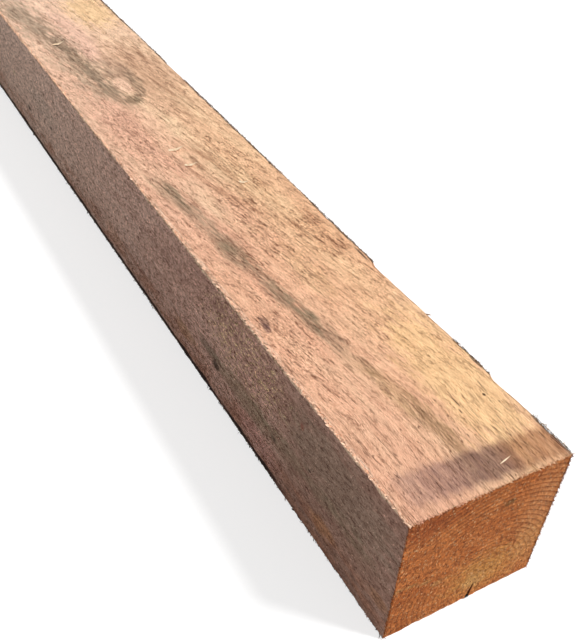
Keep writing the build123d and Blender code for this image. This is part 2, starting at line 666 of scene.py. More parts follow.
def streak(face, line, width):
    """A mask that follows a line along a face, and fades at its ends."""
    line = sorted((behind(a), b * MM - half_width) for a, b in line)
    place = node("MapRange", {"Value": face.along, "From Min": top_x, "From Max": butt_x})
    path = node("FloatCurve", {"Value": place})
    curve = path.mapping.curves[0]
    spots = [((x - top_x) / (butt_x - top_x), (y + half_width) / (2 * half_width)) for x, y in line]
    curve.points[0].location, curve.points[1].location = spots[0], spots[-1]
    for spot in spots[1:-1]:
        curve.points.new(*spot)
    path.mapping.update()
    middle = node("MapRange", {"Value": path, "To Min": -half_width, "To Max": half_width})
    offset = node("Math", {0: face.across, 1: middle}, operation="SUBTRACT")
    loose = 0.5 * width * MM
    fray = node("MapRange", {"Value": face.fray, "To Min": -loose, "To Max": loose})
    moved = node("Math", {0: offset, 1: fray}, operation="ADD")
    size = node("Math", {0: moved}, operation="ABSOLUTE")
    start, end = line[0][0], line[-1][0]
    ends = within(face.along, start, start + 40 * MM, end - 30 * MM, end)
    return both(fade(size, 0.75 * width * MM, 0.1 * width * MM), ends)


# %% [markdown]
# ## Growth rings through the whole post
# Each ring is pale where the tree grew in spring and dark where it slowed. The distance from the
# pith, made uneven with a slow noise, is divided by the ring spacing. What is left over after
# the whole rings tells how far through its year the wood is. One field serves all six faces.

# %% Growth rings
RING_SPACING = 3.3


def growth_rings(place, sharp, wander):
    """0 in a ring's pale wood, rising to 1 in its dark wood, then dropping at the next ring. The
    rings wander by so many millimetres."""
    from_pith = node("VectorMath", {0: place, 1: (0.0, PITH_Y, PITH_Z)}, operation="SUBTRACT")
    slow = node("VectorMath", {0: from_pith, 1: (4.5, 14.0, 14.0)}, operation="MULTIPLY")
    bend = node("TexNoise", {"Vector": slow, "Scale": 1.0, "Detail": 1.0, "Roughness": 0.4})
    flat = node("VectorMath", {0: from_pith, 1: (0.0, 1.0, 1.0)}, operation="MULTIPLY")
    far = node("VectorMath", {0: flat}, operation="LENGTH")
    millimetres = node("Math", {0: (far, "Value"), 1: 1000.0}, operation="MULTIPLY")
    uneven = node("Math", {0: bend, 1: 2 * wander, 2: millimetres}, operation="MULTIPLY_ADD")
    year = node("Math", {0: uneven, 1: RING_SPACING}, operation="DIVIDE")
    through = node("Math", {0: year}, operation="FRACT")
    dark = node("Math", {0: through, 1: sharp}, operation="POWER")
    return both(dark, node("MapRange", {"Value": through, "From Min": 1.0, "From Max": 0.93}))


# %% [markdown]
# ## A sawn face
# Softwood sawn rough and dipped in a brown preservative. The saw tears the fibres instead of
# slicing them, so the surface is dull, and speckled with short dark tears and pale raised ends.
# The tears' darkness is painted shade, and the raised ends' paleness is partly painted highlight.
# The tones vary slowly, then in bands, then in fibres. The finest are drawn about 0.6 mm wide,
# coarser than the real 0.05 mm ones, because those would not show.

# %% Start a sawn face


def tones_through(mask, *codes):
    """A colour that passes through these tones, evenly spaced, as the mask goes from 0 to 1."""
    ramp = node("ValToRGB", {"Fac": mask})
    stops = ramp.color_ramp.elements
    for k, code in enumerate(codes[1:-1], start=1):
        stops.new(k / (len(codes) - 1)).color = linear(code)
    stops[0].color, stops[-1].color = linear(codes[0]), linear(codes[-1])
    return ramp


def sawn_face(side, deep, middle, pale, ring):
    """Starts a sawn face's finish from its tones, so that marks can be laid on it."""
    place = (node("TexCoord", tree=empty_tree(finishes[f"sawn_{side}_face"])), "Object")
    split = node("SeparateXYZ", {"Vector": place})
    along, across = (split, "X"), (split, "Y")
    if side in ("right", "left"):
        across = node("Math", {0: (split, "Z"), 1: half_width}, operation="SUBTRACT")
    held = node("Math", {0: along, 1: GRAIN_TRUE_FROM}, operation="MINIMUM")
    lean = node("Math", {0: held, 1: FACES[side]["lean"]}, operation="MULTIPLY")
    fibre = node("Math", {0: across, 1: lean}, operation="SUBTRACT")
    grain = node("CombineXYZ", {"X": along, "Y": fibre, "Z": float(FACES[side]["seed"])})
    face = SimpleNamespace(
        along=along, across=across, grain=grain, flat=node("CombineXYZ", {"X": along, "Y": across}),
        zero=butt_x, way=-1, softness=0.6, rings=growth_rings(place, 2.2, 9.0),
        fray=flecks(grain, 18, 5, 7, 0.25, 0.75, 3.0),
        fibres=flecks(grain, 14, 1.7, 8, 0.38, 0.6, 3.0),
        colour=tones_through(flecks(grain, 110, 26, 1, 0.32, 0.68, 3.0), deep, middle, pale),
    )
    stain(face, face.rings, ring, 0.3)
    return face


# %% End a sawn face


def dull_wood(colour, roughness, relief=None, strength=1.0, depth=0.0):
    """Ends a finish with the shader: dull wood, with a relief that is so deep in millimetres."""
    inputs = {"Base Color": colour, "Roughness": roughness, "IOR": 1.5, "Specular IOR Level": 0.25}
    if relief is not None:
        inputs["Normal"] = node("Bump", {"Height": relief, "Strength": strength, "Distance": depth * MM})
    node("OutputMaterial", {"Surface": node("BsdfPrincipled", inputs)})


def fibre_finish(face, roughest, reach, contrast, calm=1.0):
    """Ends a sawn face: bands, fine fibres, raised ends and tears, then the shader. The tears are
    painted shade and the raised ends partly painted highlight. The saw tore the wood most where
    the roughest mask is, and least where calm is low. Reach makes the fibres longer or shorter."""
    grain = face.grain
    rough = either(both(flecks(grain, 50, 18, 10, 0.42, 0.62), 0.5), roughest)
    part = node("MapRange", {"Value": rough, "To Min": 0.35 * contrast, "To Max": contrast})
    part = both(part, calm)
    grainy(face, 40 * reach, 4.5, 2, 0.2 * contrast, 0.06)
    grainy(face, 15 * reach, 5, 11, 0.18 * contrast, 0.06)
    # the pale parts of the fine flecks and of the grit, where the bump rises, are partly painted highlight
    fine = grainy(face, 8 * reach, 1.4, 3, both(part, 0.5), both(part, 0.16))
    grit = grainy(face, 1.5 * reach + 0.3, 0.65, 5, both(part, 0.85), both(part, 0.36), 1.0)
    # the dark tear lines, hairs and holes below are painted shade of the tears
    broken = flecks(grain, 13 * reach, 2.2, 14, 0.48, 0.54, 1.0)
    lines = both(threads(grain, 17 * reach, 1.9, 4, 0.032), broken)
    deepen(face, both(lines, part), 1.0, 0.8)
    tufts = flecks(grain, 14 * reach, 5, 25, 0.44, 0.58, 1.0)
    hairs = both(threads(grain, 6 * reach + 0.5, 1.2, 24, 0.04), tufts)
    deepen(face, both(hairs, part), 0.7)
    share = node("MapRange", {"Value": rough, "To Min": 0.02, "To Max": 0.34})
    holes = chips(grain, 3.4 * reach, 0.62, 6, both(share, calm))
    deepen(face, both(holes, part), 1.0)
    deepen(face, holes, 0.3)
    raised = node("Math", {0: grit, 1: fine}, operation="ADD")
    relief = node("Math", {0: either(lines, holes), 1: -1.5, 2: raised}, operation="MULTIPLY_ADD")
    dull_wood(face.colour, 0.88, relief, 0.8, 0.35)


# %% [markdown]
# ## The top face
# The sun-side face: peach, pinker towards its left edge and yellower towards its right. Grey-green
# bands mark where resin-rich rings took less preservative: one ends in a rounded tip, where the
# saw passed just under a ring, and one crosses the face on a slant. A darker band lies across the
# butt end, where the timber has been wet.

# %% The top face's tones
top = sawn_face("top", "#E9B698", "#F5C9A6", "#FCDBB4", "#E2AB88")
stain(top, fade(top.across, -0.01, 0.03), "#FAD09E", 0.45)
stain(top, fade(top.across, 0.0, -0.03), "#E4B098", 0.5)
stain(top, fade(top.along, 0.62, 0.2), "#FEDCC0", 0.75)
stain(top, fade(top.along, behind(300), behind(180)), "#F0B48C", 0.3)
patches(
    top, ((70, 80, 170, 54), "#FBD09A", 0.75), ((590, 46, 170, 34), "#F6CAB4", 0.6),
    ((645, 80, 130, 56), "#FBD49C", 0.65), ((490, 70, 190, 70), "#D2A888", 0.6, 0.4))
striped = strongest(top, ((480, 82, 240, 40), 1.0), ((300, 62, 200, 50), 1.0))
deepen(top, both(flecks(top.grain, 60, 2.8, 41, 0.5, 0.62), striped), 0.55)
deepen(top, both(top.rings, striped), 0.3)

# %% The first grey-green band and its rounded tip
BAND, BAND_SPOT, TIP = "#A4927A", "#8E7E6A", "#84705A"
first_band = [
    (780, 8), (700, 11), (664, 15), (640, 18), (616, 21), (582, 26), (540, 30), (512, 32),
    (475, 33.5), (440, 35)]
first_core = [(600, 24), (560, 29), (512, 32), (475, 34), (452, 37), (425, 42)]
stain(top, streak(top, first_band, 31), BAND, 0.72, 0.5)
stain(top, streak(top, first_core, 10), "#80705A", 0.6, 0.55)
for spot in ((658, 15, 60, 25), (617, 22, 70, 19), (575, 28, 60, 16), (500, 34, 60, 10)):
    stain(top, patch(top, *spot), BAND_SPOT, 0.5, 0.6)
stain(top, patch(top, 500, 54, 80, 34), "#B0917A", 0.65, 0.5)
tip = [(520, 60), (500, 61), (470, 60), (452, 54), (438, 45), (425, 40)]
stain(top, streak(top, tip, 10), TIP, 0.75, 0.55)
patches(
    top, ((446, 46, 20, 24), "#77674E", 0.7, 0.5), ((475, 49, 38, 19, 0.5), "#FCD4B6", 0.95),
    ((548, 47, 46, 18), "#F7CCB4", 0.7))

# %% The plain bands beyond the photographed part
far_bands = (
    ([(1790, 60), (1520, 52), (1260, 57), (1040, 68), (860, 80)], 14),
    ([(1620, 20), (1400, 16), (1180, 24), (980, 20)], 9))
for line, width in far_bands:
    stain(top, streak(top, line, width), "#9C896E", 0.6, 0.6)
patches(top, ((1300, 80, 300, 44), "#FBD49C", 0.5), ((1600, 36, 240, 40), "#E4AC8E", 0.4))

# %% The second band, and the small marks
second_band = [
    (345, 10), (317, 14), (289, 20), (268, 22), (245, 23), (227, 23.5), (214, 25.5), (200, 27.5),
    (187, 28.6), (173, 29.6), (162, 31.5), (137, 35.5), (110, 38.3), (95, 41)]
stain(top, streak(top, second_band, 11), "#867860", 0.6, 0.55)
for spot in ((300, 18, 60, 11), (228, 24, 56, 22), (176, 30, 44, 11), (148, 34, 46, 11)):
    stain(top, patch(top, *spot), "#7A6E56", 0.66, 0.6)
brown_end = [(125, 37), (101, 39), (89, 43), (65, 46.5), (37, 51), (10, 52)]
stain(top, streak(top, brown_end, 11), "#B48E62", 0.55, 0.5)
stain(top, patch(top, 190, 57, 80, 20), "#CDA878", 0.4, 0.6)
for spot in ((96, 42, 40, 8), (60, 47, 44, 11), (36, 50, 34, 12)):
    stain(top, patch(top, *spot), "#7E6040", 0.6, 0.9)
for spot in ((157, 9.5, 13, 7, 1.4), (152, 8, 12, 5, 1.4)):
    stain(top, patch(top, *spot), "#54363A", 0.8, 0.5)
for start in (163, 240, 392, 555):
    mark = within(top.along, behind(start + 4), behind(start), behind(start), behind(start - 3))
    deepen(top, both(mark, top.fray), 0.28)
# painted shade: the pinholes aren't cut, only painted near-black as the shade inside them
pinhole_shade = (
    (57, 69, 12, 1.1, 0.4), (50, 67, 5, 1.0, 0.4), (35, 60, 4, 1.0, 0.4), (54, 86, 2.6, 2.0, 0.4),
    (18, 55, 3, 1.0, 0.4))
for spot in pinhole_shade:
    stain(top, patch(top, *spot), "#4A2C1E", 0.9)

# %% The damp band across the butt end
slanted = node("Math", {0: top.across, 1: -0.09, 2: top.along}, operation="MULTIPLY_ADD")
damp = within(frayed(top, slanted, 4.5), behind(28), behind(20.5), behind(8), butt_x)
stain(top, both(damp, within(top.across, -0.034, 0.0, 0.018, 0.032)), "#70504A", 0.86, 0.25)
stain(top, both(damp, fade(top.across, 0.01, 0.03)), "#A86E48", 0.74, 0.2)
stain(top, both(damp, within(top.across, -0.048, -0.036, -0.02, 0.0)), "#94706A", 0.6, 0.35)
# painted shade: thin splits near the butt end, not cut, only painted dark as the shade inside them
split_shade = both(threads(top.grain, 46, 4.0, 21, 0.015), flecks(top.grain, 24, 4, 22, 0.5, 0.58, 1.0))
stain(top, both(split_shade, fade(top.along, behind(110), behind(40))), "#6A4632", 0.8)

# %% The top face's edges and fibres
# a pale rim along the left arris: partly paler worn fibre, partly painted highlight on the edge
stain(top, fade(frayed(top, top.across, 2.6), -0.0455, -0.0475), "#FBD8BC", 0.75)
# painted shade: a dark line along the right arris by the butt end, where the lifted corner leaves a gap
torn_gap_shade = both(fade(top.across, 0.0472, 0.048), fade(top.along, behind(34), behind(26)))
stain(top, torn_gap_shade, "#7A5F54", 0.75, 0.3)
# painted shadow: dark strips along the torn arris, where the edge lies lower and in shade
for spot in ((189, 97.2, 26, 2.2, 0.5), (214, 98.4, 24, 1.6, 0.5), (75, 98.2, 16, 1.8, 0.5)):
    stain(top, patch(top, *spot), "#3A2A24", 0.85)
stain(top, patch(top, 226, 86, 66, 30, 1.0), "#C08460", 0.45, 0.7)
rough_spots = (
    (250, 55, 170, 50), (120, 14, 190, 30), (390, 24, 170, 40), (210, 30, 60, 24), (330, 75, 120, 40),
    (560, 30, 200, 40))
roughest = strongest(top, ((225, 84, 84, 34, 1.0), 1.0), *(((*spot, 1.0), 0.75) for spot in rough_spots))
smooth = patch(top, 85, 80, 180, 40, 1.0)
roughest = both(roughest, node("MapRange", {"Value": smooth, "To Min": 1.0, "To Max": 0.1}))
near_end = fade(top.along, behind(135), behind(70))
calm = node("MapRange", {"Value": near_end, "To Min": 1.0, "To Max": 0.55})
fibre_finish(top, roughest, 1.0, 1.0, calm)
print("top face nodes", len(finishes["sawn_top_face"].node_tree.nodes))

# %% [markdown]
# ## The left face
# This face was turned from the sun: a greyer, purple brown, redder along its bottom third, with a
# small round knot whose dark halo trails off along the grain. Its tones are darker than the top's
# partly as painted shade. Its worn top arris is paler, partly as painted highlight, and a painted
# shadow runs along its foot.

# %% The left face's tones
# the left face's tones: partly the wood's own purple brown, partly painted shade, darker than the top's
left = sawn_face("left", "#C89C8C", "#DCB09E", "#ECC4B2", "#BE9280")
stain(left, fade(left.along, 0.8, 0.25), "#FCE0CC", 0.85)
stain(left, fade(left.along, 0.76, 0.8), "#A07C68", 0.5)
far_band = [(1780, 38), (1500, 46), (1200, 40), (980, 28), (840, 32)]
stain(left, streak(left, far_band, 16), "#8C7A66", 0.55, 0.6)
combed = both(flecks(left.grain, 60, 2.4, 33, 0.5, 0.6), patch(left, 40, 28, 150, 44))
stain(left, combed, "#C8A68C", 0.35)
stain(left, patch(left, 60, 68, 150, 62), "#A2937E", 0.42)
pale_streaks = both(flecks(left.grain, 70, 5, 35, 0.52, 0.66), fade(left.along, 0.7, 0.55))
stain(left, pale_streaks, "#F4D8C8", 0.5)
red_foot = both(fade(left.across, -0.02, -0.034), flecks(left.grain, 30, 8, 31, 0.42, 0.6))
stain(left, red_foot, "#CC9478", 0.6)

# %% The knot, its halo and the small marks
patches(
    left, ((165, 37, 140, 26), "#A8997C", 0.6, 0.35), ((212, 38, 40, 17), "#7C6C5A", 0.6, 0.3),
    ((203, 31, 12, 9, 0.6), "#4A382C", 0.8))
stain(left, streak(left, [(180, 42), (120, 42), (60, 44), (5, 43)], 12), "#9A8C70", 0.5, 0.4)
patches(
    left, ((145, 16, 70, 26), "#E6B4A6", 0.8), ((68, 20, 34, 18), "#D69A6C", 0.6),
    ((12, 24, 22, 14), "#C89268", 0.5), ((250, 24, 50, 16), "#CCA07C", 0.6),
    ((388, 19, 50, 20), "#E0B49A", 0.6), ((560, 52, 110, 34), "#DCC6B4", 0.5),
    ((85, 50, 4, 2.6, 0.3), "#4A362C", 0.8), ((540, 40, 9, 4, 0.3), "#4A362C", 0.8),
    ((610, 28, 12, 6, 0.5), "#4A362C", 0.8), ((125, 37, 8, 6, 0.4), "#5E4E40", 0.6),
    ((96, 76, 5, 8, 0.6), "#A85440", 0.5), ((649, 47, 11, 5, 0.4), "#FFF0D8", 0.8))
# pale chips: partly the pale fibre's own colour, partly painted highlight of the relief on a face in shade
yellow_bits = both(chips(left.flat, 2.0, 1.7, 15, 0.66), patch(left, 165, 72, 140, 70))
stain(left, yellow_bits, "#FFE4B4", 0.95)
for size, seed, share, gain in ((2.6, 16, 0.3, 0.7), (1.4, 17, 0.34, 0.8)):
    lighten(left, chips(left.flat, size, 0.85 * size, seed, share), gain)

# %% The left face's edges, the painted shadow at its foot, and its fibres
# a pale rim along the top arris: partly paler worn fibre, partly painted highlight on a face in shade
stain(left, fade(frayed(left, left.across, 3.4), 0.0484, 0.0494), "#FFE2C0", 0.95)
# painted shadow: a near-black ragged band along the foot, as the shade under the post's bottom arris
ragged_shadow_line = frayed(left, left.across, 3.0)
foot_shadow = both(fade(ragged_shadow_line, -0.0425, -0.0448), fade(left.along, 0.81, 0.765))
stain(left, foot_shadow, "#241E1E", 0.92)
stain(left, fade(ragged_shadow_line, -0.0474, -0.0486), "#2E2422", 0.85)
near_end = fade(left.along, behind(130), behind(100))
calm = node("MapRange", {"Value": near_end, "To Min": 1.0, "To Max": 0.55})
fibre_finish(left, either(patch(left, 300, 15, 700, 30), 0.6), 0.45, 1.5, calm)
print("left face nodes", len(finishes["sawn_left_face"].node_tree.nodes))

# %% [markdown]
# ## The right and bed faces
# Both are out of the photograph. They are the same timber from the same saw, so they take the
# tones between those of the top and left faces, and each has its own seed.

# %% The hidden faces' finish
PLAIN_TONES = ("#CC9A7C", "#D9AA86", "#E6BD94", "#C8946C")
KNOT = "#4A3026"
right = sawn_face("right", *PLAIN_TONES)
for line, width in (
    ([(900, 30), (640, 42), (380, 55), (150, 62), (10, 64)], 12),
    ([(1780, 70), (1500, 60), (1200, 66), (1000, 74)], 10),
):
    stain(right, streak(right, line, width), "#93826A", 0.6, 0.6)
patches(right, ((1240, 38, 22, 17, 0.3), KNOT, 0.85), ((520, 78, 14, 11, 0.3), "#53382C", 0.8))
fibre_finish(right, patch(right, 700, 60, 400, 50), 0.8, 0.9)
bed = sawn_face("bed", *PLAIN_TONES)
stain(bed, streak(bed, [(1500, 66), (1100, 58), (700, 62), (400, 70)], 12), "#8C7A66", 0.6, 0.6)
patches(bed, ((900, 36, 24, 18, 0.3), KNOT, 0.85), ((860, 38, 90, 34), "#9C7F68", 0.5, 0.5))
fibre_finish(bed, patch(bed, 600, 40, 500, 60), 0.8, 0.9)
print("hidden faces finished")

# %% [markdown]
# ## End grain
# The fibres' open ends drink the preservative, so an end is a deep orange brown, darker than the
# faces, and yellower round the pith. Its rings are crisp at the right, and the blade has left it
# speckled all over with torn and raised fibre ends. The pale rim is fibre pushed over the arris.

# %% Start an end


def end_face(name, deep, pale):
    """Starts an end's finish: clouds of two tones, so that marks can be laid on it."""
    tree = empty_tree(finishes[name])
    place = (node("TexCoord", tree=tree), "Object")
    split = node("SeparateXYZ", {"Vector": place})
    across = (split, "Y")
    up = node("Math", {0: (split, "Z"), 1: half_width}, operation="SUBTRACT")
    flat = node("CombineXYZ", {"X": across, "Y": up})
    # the blade's strokes slant, so the torn ends do too
    slant = node("Math", {0: up, 1: -0.35, 2: across}, operation="MULTIPLY_ADD")
    return SimpleNamespace(
        tree=tree, place=place, across=across, up=up, flat=flat,
        grain=node("CombineXYZ", {"X": slant, "Y": up}), zero=-half_width, way=1, softness=0.8,
        fray=flecks(flat, 6, 5, 7, 0.25, 0.75, 3.0), fibres=flecks(flat, 1.6, 3.4, 8, 0.4, 0.6, 3.0),
        colour=tones_through(flecks(flat, 26, 22, 1, 0.32, 0.68, 3.0), deep, pale),
    )


# %% End an end


def end_speckle(face, raised, crisp, rim=False):
    """Ends an end face: rings, and torn and raised fibre ends, then the shader. The rings show
    best where the crisp mask is, and the speckle where it is not. A rim is pale fibre at the edge."""
    blurred = node("MapRange", {"Value": crisp, "To Min": 1.0, "To Max": 0.35}, face.tree)
    clear = node("MapRange", {"Value": crisp, "To Min": 0.25, "To Max": 1.0}, face.tree)
    grainy(face, 6, 5, 13, 0.25, 0.1)
    grit = grainy(face, 0.8, 2.3, 6, both(blurred, 0.7), both(blurred, 0.5), 1.0)
    pores = both(threads(face.grain, 2.0, 4.6, 4, 0.045), flecks(face.flat, 3, 3, 14, 0.46, 0.56, 1.0))
    deepen(face, both(pores, blurred), 0.8)
    deepen(face, both(growth_rings(face.place, 3.2, 0.9), clear), 1.0, 0.3)
    deepen(face, chips(face.flat, 1.2, 1.2, 9, 0.3), 0.7)
    bright = chips(face.grain, 0.9, 2.0, 5, 0.42)
    stain(face, bright, raised, 0.85)
    if rim:
        stain(face, fade(frayed(face, face.up, 2.6), 0.0502, 0.0510), "#FFDDB0", 0.8)
        stain(face, fade(frayed(face, face.across, 2.4), -0.0482, -0.0492), "#C89A72", 0.5)
    relief = node("Math", {0: either(bright, grit), 1: pores}, operation="SUBTRACT")
    dull_wood(face.colour, 0.85, relief, 1.0, 0.5)


# %% The butt end and the top end
butt = end_face("butt_end_grain", "#BE6A32", "#DA884A")
patches(
    butt, ((12, 90, 60, 34), "#A8562A", 0.6), ((92, 60, 40, 110), "#E29A62", 0.7),
    ((62, 22, 70, 52), "#E2A458", 0.7), ((90, 30, 40, 60), "#E8A866", 0.55),
    ((57, 15, 24, 18), "#EEBE7A", 0.5))
for spot in ((4, 43, 14, 5), (12, 42, 14, 5), (21, 39, 14, 6), (30, 33, 14, 8)):
    stain(butt, patch(butt, *spot), "#CDAA6C", 0.5, 0.5)
stain(butt, patch(butt, 64, 80, 12, 7), "#66502C", 0.8, 0.3)
crisp = strongest(
    butt, ((92, 66, 76, 110), 1.0), ((14, 16, 50, 70), 0.8), ((46, 86, 110, 46), 0.95),
    ((60, 40, 60, 60), 0.55))
end_speckle(butt, "#FFCB94", crisp, rim=True)
far_end = end_face("top_end_grain", "#BC7A50", "#D08E60")
stain(far_end, patch(far_end, 62, 22, 70, 52), "#D9A060", 0.6)
end_speckle(far_end, "#F4C090", patch(far_end, 80, 60, 90, 90))
end_speckle(end_face("check_walls", "#7A4628", "#8E5634"), "#B07A50", 0.5)
print("finishes on the post", [m.name for m in post.data.materials])

# %% [markdown]
# ## Raised fibres
# The saw lifts thousands of fibre ends. Each is a thin blade rooted in the surface that lies along
# the grain and curls up at its free end. They catch the light and cast the fine shadows that make
# sawn timber look woolly. They are built straight into one mesh for each face, with real places
# from the relief, because separate objects would be slow. They are drawn wider than real ones.

# %% Blades of fibre


def blades(name, fibres, material, keep=slice(None)):
    """One mesh of pointed blades. The fibres are given as their roots, their ways, the directions
    out of the face, and their lengths, widths, lifts and rolls."""
    roots, ways, outs, lengths, widths, lifts, rolls = (a[keep] for a in fibres)
    tilt = np.cross(outs, ways) * np.cos(rolls)[:, None] + outs * np.sin(rolls)[:, None]
    half = tilt * (widths / 2)[:, None]
    start = roots - outs * 0.08 * MM
    middle = roots + ways * (0.5 * lengths)[:, None] + outs * (0.18 * lengths * lifts)[:, None]
    tip = roots + ways * lengths[:, None] + outs * (lengths * lifts)[:, None]
    rows = np.stack([start - 0.6 * half, start + 0.6 * half, middle + half, middle - half, tip], axis=1)
    # nothing reaches below the face that the post lies on
    rows[:, :, 2] = np.maximum(rows[:, :, 2], 0.1 * MM)
    count = len(roots)
    first = np.arange(count) * 5
    quads = np.column_stack([first, first + 1, first + 2, first + 3])
    points = np.column_stack([first + 3, first + 2, first + 4])
    shapes = np.concatenate([quads.ravel(), points.ravel()])
    mesh = bpy.data.meshes.new(name)
    mesh.vertices.add(count * 5)
    mesh.vertices.foreach_set("co", rows.ravel())
    mesh.loops.add(len(shapes))
    mesh.loops.foreach_set("vertex_index", shapes.astype(np.int32))
    mesh.polygons.add(2 * count)
    starts = np.concatenate([np.arange(count) * 4, 4 * count + np.arange(count) * 3])
    mesh.polygons.foreach_set("loop_start", starts.astype(np.int32))
    mesh.update(calc_edges=True)
    # each blade has a cell of its own on the sheet that finishes are baked on
    cells = math.ceil(math.sqrt(count))
    corner = np.column_stack([np.arange(count) % cells, np.arange(count) // cells]) / cells
    in_cell = np.array([(0.2, 0.2), (0.8, 0.2), (0.8, 0.5), (0.2, 0.5), (0.5, 0.8)]) / cells
    flat = (corner[:, None, :] + in_cell[None]).reshape(-1, 2)
    chart = mesh.uv_layers.new(name="OFBake")
    chart.data.foreach_set("uv", flat[shapes].astype(np.float32).ravel())
    mesh.materials.append(material)
    piece = add_object(name, mesh)
    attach(piece, "root")
    print(name, count, "blades", 3 * count, "triangles")


# %% Fibre finishes


def fibre_material(name, finish, darkest, palest):
    """The finish of the face that the fibres stand on, with each blade paler or darker by chance."""
    material = finishes[finish].copy()
    material.name = name
    tree = material.node_tree
    shader = next(n for n in tree.nodes if n.type == "BSDF_PRINCIPLED")
    base = shader.inputs["Base Color"]
    which = node("NewGeometry", tree=tree)
    chance = (which, "Random Per Island")
    tone = node("MapRange", {"Value": chance, "To Min": darkest, "To Max": palest})
    toned = node("VectorMath", {0: base.links[0].from_socket, "Scale": tone}, operation="SCALE")
    tree.links.new(toned.outputs[0], base)
    tree.links.remove(shader.inputs["Normal"].links[0])
    return material


top_fibres = fibre_material("raised_fibres_top", "sawn_top_face", 0.75, 1.2)
# a paler copy of the top face's finish: painted light, so that fibres turned to the left face's shade look
# bright
worn_fibres_painted_light = fibre_material("worn_arris_fibres_painted_light", "sawn_top_face", 1.0, 1.5)
left_fibres = fibre_material("raised_fibres_left", "sawn_left_face", 0.6, 1.6)
right_fibres = fibre_material("raised_fibres_right", "sawn_right_face", 0.75, 1.2)
bed_fibres = fibre_material("raised_fibres_bed", "sawn_bed_face", 0.75, 1.2)
# a much darker copy of the right face's finish: painted shade, for the shaded sides of the torn arris's
# fibres
torn_fibres_painted_shade = fibre_material("torn_arris_fibres_painted_shade", "sawn_right_face", 0.12, 0.6)
end_fibres = fibre_material("raised_fibres_end", "butt_end_grain", 0.5, 1.1)

# %% Lay the fibres on the long faces
CROWDED_FROM = 0.15


def scatter_along(pick, count, share, first, last):
    """Places along the post, a share of them in the last 0.75 m before the butt end."""
    near = pick.random(count) < share
    return np.where(near, pick.uniform(CROWDED_FROM, last, count), pick.uniform(first, CROWDED_FROM, count))


def lay_fibres(face, count, material):
    """Scatters blades over a long face."""
    pick = np.random.default_rng(FACES[face]["seed"] + 100)
    out, sideways = FACES[face]["out"], FACES[face]["across"]
    along = scatter_along(pick, count, 0.62, top_x, behind(2))
    across = pick.uniform(-half_width, half_width, count)
    centre = out * half_width + half_width * UP
    roots = centre + sideways * across[:, None] + out * sawn_relief(face, along, across)[:, None]
    roots[:, 0] += along
    lean = np.where(along < GRAIN_TRUE_FROM, FACES[face]["lean"], 0.0)
    angle = np.arctan(lean) + pick.normal(0, 0.22 if face == "top" else 0.6, count)
    turn = pick.choice([-1, 1], count)
    ways = sideways * np.sin(angle)[:, None]
    ways[:, 0] += np.cos(angle)
    ways *= turn[:, None]
    lengths = (0.8 + (3.2 if face == "top" else 1.6) * pick.random(count) ** 2.5) * MM
    widths = pick.uniform(0.15, 0.4, count) * MM
    lifts, rolls = pick.uniform(0.02, 0.22, count), pick.uniform(-0.8, 0.8, count)
    # a blade stays on its face: off the worn arrises, off the tears and off the ends
    tips = roots + ways * lengths[:, None]
    sides = tips @ sideways - centre @ sideways
    clear = 2.2 * MM + (torn_leg(along) if face in ("top", "right") else 0)
    keep = (np.abs(sides) < half_width - 0.5 * MM) & (half_width - np.abs(across) > clear)
    keep &= (tips[:, 0] < behind(3)) & (tips[:, 0] > top_x)
    outs = np.tile(out, (count, 1))
    blades(f"raised_fibres_{face}", (roots, ways, outs, lengths, widths, lifts, rolls), material, keep)


lay_fibres("top", 24000, top_fibres)
lay_fibres("left", 20000, left_fibres)
lay_fibres("right", 14000, right_fibres)
lay_fibres("bed", 8000, bed_fibres)

# %% [markdown]
# ## Fibres on the arrises and round the cut end
# An arris has fibres broken along it, which hang over by a millimetre or so and make its outline
# ragged. The cross-cut leaves a fringe of them round the butt end as well.

# %% Lay the fibres on the arrises


def arris_fibres(name, sides, count, seed, material):
    """Scatters broken fibres along a long arris: its sides are the signs of y and z there."""
    pick = np.random.default_rng(seed)
    along = scatter_along(pick, count, 0.7, top_x + 4 * MM, behind(3))
    y_side, z_side = sides
    on_flat = pick.random(count) < 0.5
    inward = pick.uniform(0.2, 1.6, count) * MM
    drop = 0.45 * MM
    y = y_side * (half_width - np.where(on_flat, inward, drop))
    z = half_width + z_side * (half_width - np.where(on_flat, drop, inward))
    outs = np.tile([0.0, y_side * 0.7, z_side * 0.7], (count, 1))
    angle = pick.normal(0, 0.45, count)
    overhang = np.where(on_flat, y_side * np.abs(np.sin(angle)), 0.0)
    ways = np.column_stack([np.cos(angle), overhang, np.where(on_flat, 0.0, np.sin(angle))])
    ways[:, 0] *= pick.choice([-1, 1], count)
    lengths = (0.8 + 2.2 * pick.random(count) ** 2.5) * MM
    widths = pick.uniform(0.3, 0.9, count) * MM
    lifts, rolls = pick.uniform(-0.05, 0.2, count), pick.uniform(-0.5, 0.5, count)
    torn = (torn_leg(along) >= 0.1 * MM) & (sides == (1, 1))
    blades(name, (np.column_stack([along, y, z]), ways, outs, lengths, widths, lifts, rolls), material, ~torn)


arris_fibres("arris_fibres_top_left", (-1, 1), 5200, 301, worn_fibres_painted_light)
arris_fibres("arris_fibres_top_right", (1, 1), 9000, 302, torn_fibres_painted_shade)
arris_fibres("arris_fibres_bed_left", (-1, -1), 3000, 303, left_fibres)

# %% Stand a few splinters off the torn arris
# mm behind the butt end, length and width in mm, and turn in degrees
STANDING = np.array([
    (123, 5.0, 1.0, 40), (268, 5.0, 0.8, 30), (300, 4.0, 0.8, -28), (205, 4.5, 0.7, 22),
    (30, 5.0, 0.8, 25), (610, 8.0, 1.2, 12), (520, 6.0, 1.1, -20)])
places, lengths, widths, turns = STANDING.T
each = np.ones(len(STANDING))
turns = np.radians(turns)
